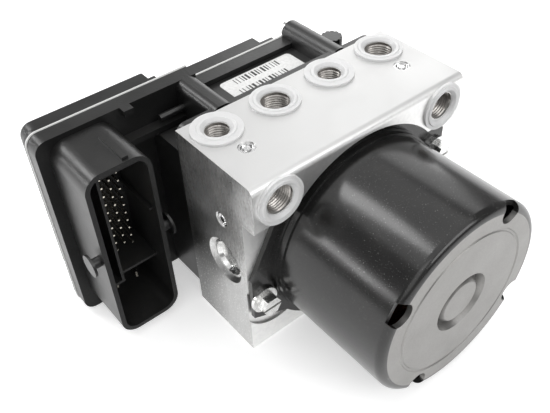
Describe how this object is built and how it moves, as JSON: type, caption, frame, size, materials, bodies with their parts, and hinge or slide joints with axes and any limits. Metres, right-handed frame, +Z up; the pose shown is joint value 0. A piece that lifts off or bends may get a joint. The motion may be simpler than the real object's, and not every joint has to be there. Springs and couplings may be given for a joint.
{
  "type": "abs brake module",
  "caption": "Anti-lock brake hydraulic unit: aluminium valve block with pipe ports, black round pump motor and black controller with an upright plug socket.",
  "frame": {"origin": "centre of the valve block's underside", "axes": "+Z up through the pipe ports, -Y along the motor away from the block, +X away from the plug socket"},
  "size_m": [0.1422, 0.1357, 0.0902],
  "materials": {
    "block_metal": "satin",
    "motor_paint": "satin",
    "zinc_steel": "satin",
    "bright_steel": "polished",
    "ring_plastic": "translucent white",
    "black_plastic": "satin",
    "seal_rubber": "matte",
    "pin_metal": "bright",
    "copper": "satin",
    "magnet_iron": "matte",
    "carbon": "matte",
    "board_green": "satin",
    "label_white": "matte"
  },
  "bodies": {
    "module": {"accumulator_cap_left": "zinc_steel", "accumulator_cap_right": "zinc_steel", "accumulator_spring_left": "bright_steel", "accumulator_spring_right": "bright_steel", "brush_holder": "black_plastic", "carbon_brushes": "carbon", "circuit_board": "board_green", "connector_pins": "pin_metal", "controller_cover": "black_plastic", "controller_gasket": "seal_rubber", "controller_housing": "black_plastic", "controller_screws": "zinc_steel", "front_bearing": "bright_steel", "front_port_ring_left": "ring_plastic", "front_port_ring_right": "ring_plastic", "gallery_plugs": "bright_steel", "inlet_coil_1": "black_plastic", "inlet_coil_2": "black_plastic", "inlet_coil_3": "black_plastic", "inlet_coil_4": "black_plastic", "inlet_valve_1": "bright_steel", "inlet_valve_2": "bright_steel", "inlet_valve_3": "bright_steel", "inlet_valve_4": "bright_steel", "label_plate": "label_white", "motor_can": "motor_paint", "motor_end_plate": "zinc_steel", "motor_lead": "black_plastic", "motor_magnets": "magnet_iron", "motor_screws": "zinc_steel", "outlet_coil_1": "black_plastic", "outlet_coil_2": "black_plastic", "outlet_coil_3": "black_plastic", "outlet_coil_4": "black_plastic", "outlet_valve_1": "bright_steel", "outlet_valve_2": "bright_steel", "outlet_valve_3": "bright_steel", "outlet_valve_4": "bright_steel", "pump_cylinder_left": "bright_steel", "pump_cylinder_right": "bright_steel", "pump_plug_left": "zinc_steel", "pump_plug_right": "zinc_steel", "pump_spring_left": "bright_steel", "pump_spring_right": "bright_steel", "rear_bearing": "bright_steel", "top_port_ring_1": "ring_plastic", "top_port_ring_2": "ring_plastic", "top_port_ring_3": "ring_plastic", "top_port_ring_4": "ring_plastic", "valve_block": "block_metal", "vent_cap": "black_plastic"},
    "rotor": {"motor_shaft": "bright_steel", "cam_bearing": "bright_steel", "armature_core": "magnet_iron", "armature_windings": "copper", "commutator": "copper"},
    "pump_piston_left": {"pump_piston_left": "bright_steel"},
    "accumulator_piston_left": {"accumulator_piston_left": "bright_steel"},
    "pump_piston_right": {"pump_piston_right": "bright_steel"},
    "accumulator_piston_right": {"accumulator_piston_right": "bright_steel"}
  },
  "joints": [
    {"name": "rotor_spin", "type": "hinge", "parent": "module", "child": "rotor", "pos_m": [0, -0.045, 0.0412], "axis": [0, 1, 0], "continuous": true},
    {"name": "pump_piston_left_slide", "type": "slide", "parent": "module", "child": "pump_piston_left", "axis": [1, 0, 0], "range_m": [0, 0.0009]},
    {"name": "pump_piston_right_slide", "type": "slide", "parent": "module", "child": "pump_piston_right", "axis": [-1, 0, 0], "range_m": [0, 0.0009]},
    {"name": "accumulator_piston_left_slide", "type": "slide", "parent": "module", "child": "accumulator_piston_left", "axis": [0, 0, 1], "range_m": [-0.007, 0], "stiffness_N_per_m": 500, "springref_m": 0.004, "deforming": ["accumulator_spring_left"]},
    {"name": "accumulator_piston_right_slide", "type": "slide", "parent": "module", "child": "accumulator_piston_right", "axis": [0, 0, 1], "range_m": [-0.007, 0], "stiffness_N_per_m": 500, "springref_m": 0.004, "deforming": ["accumulator_spring_right"]}
  ]
}
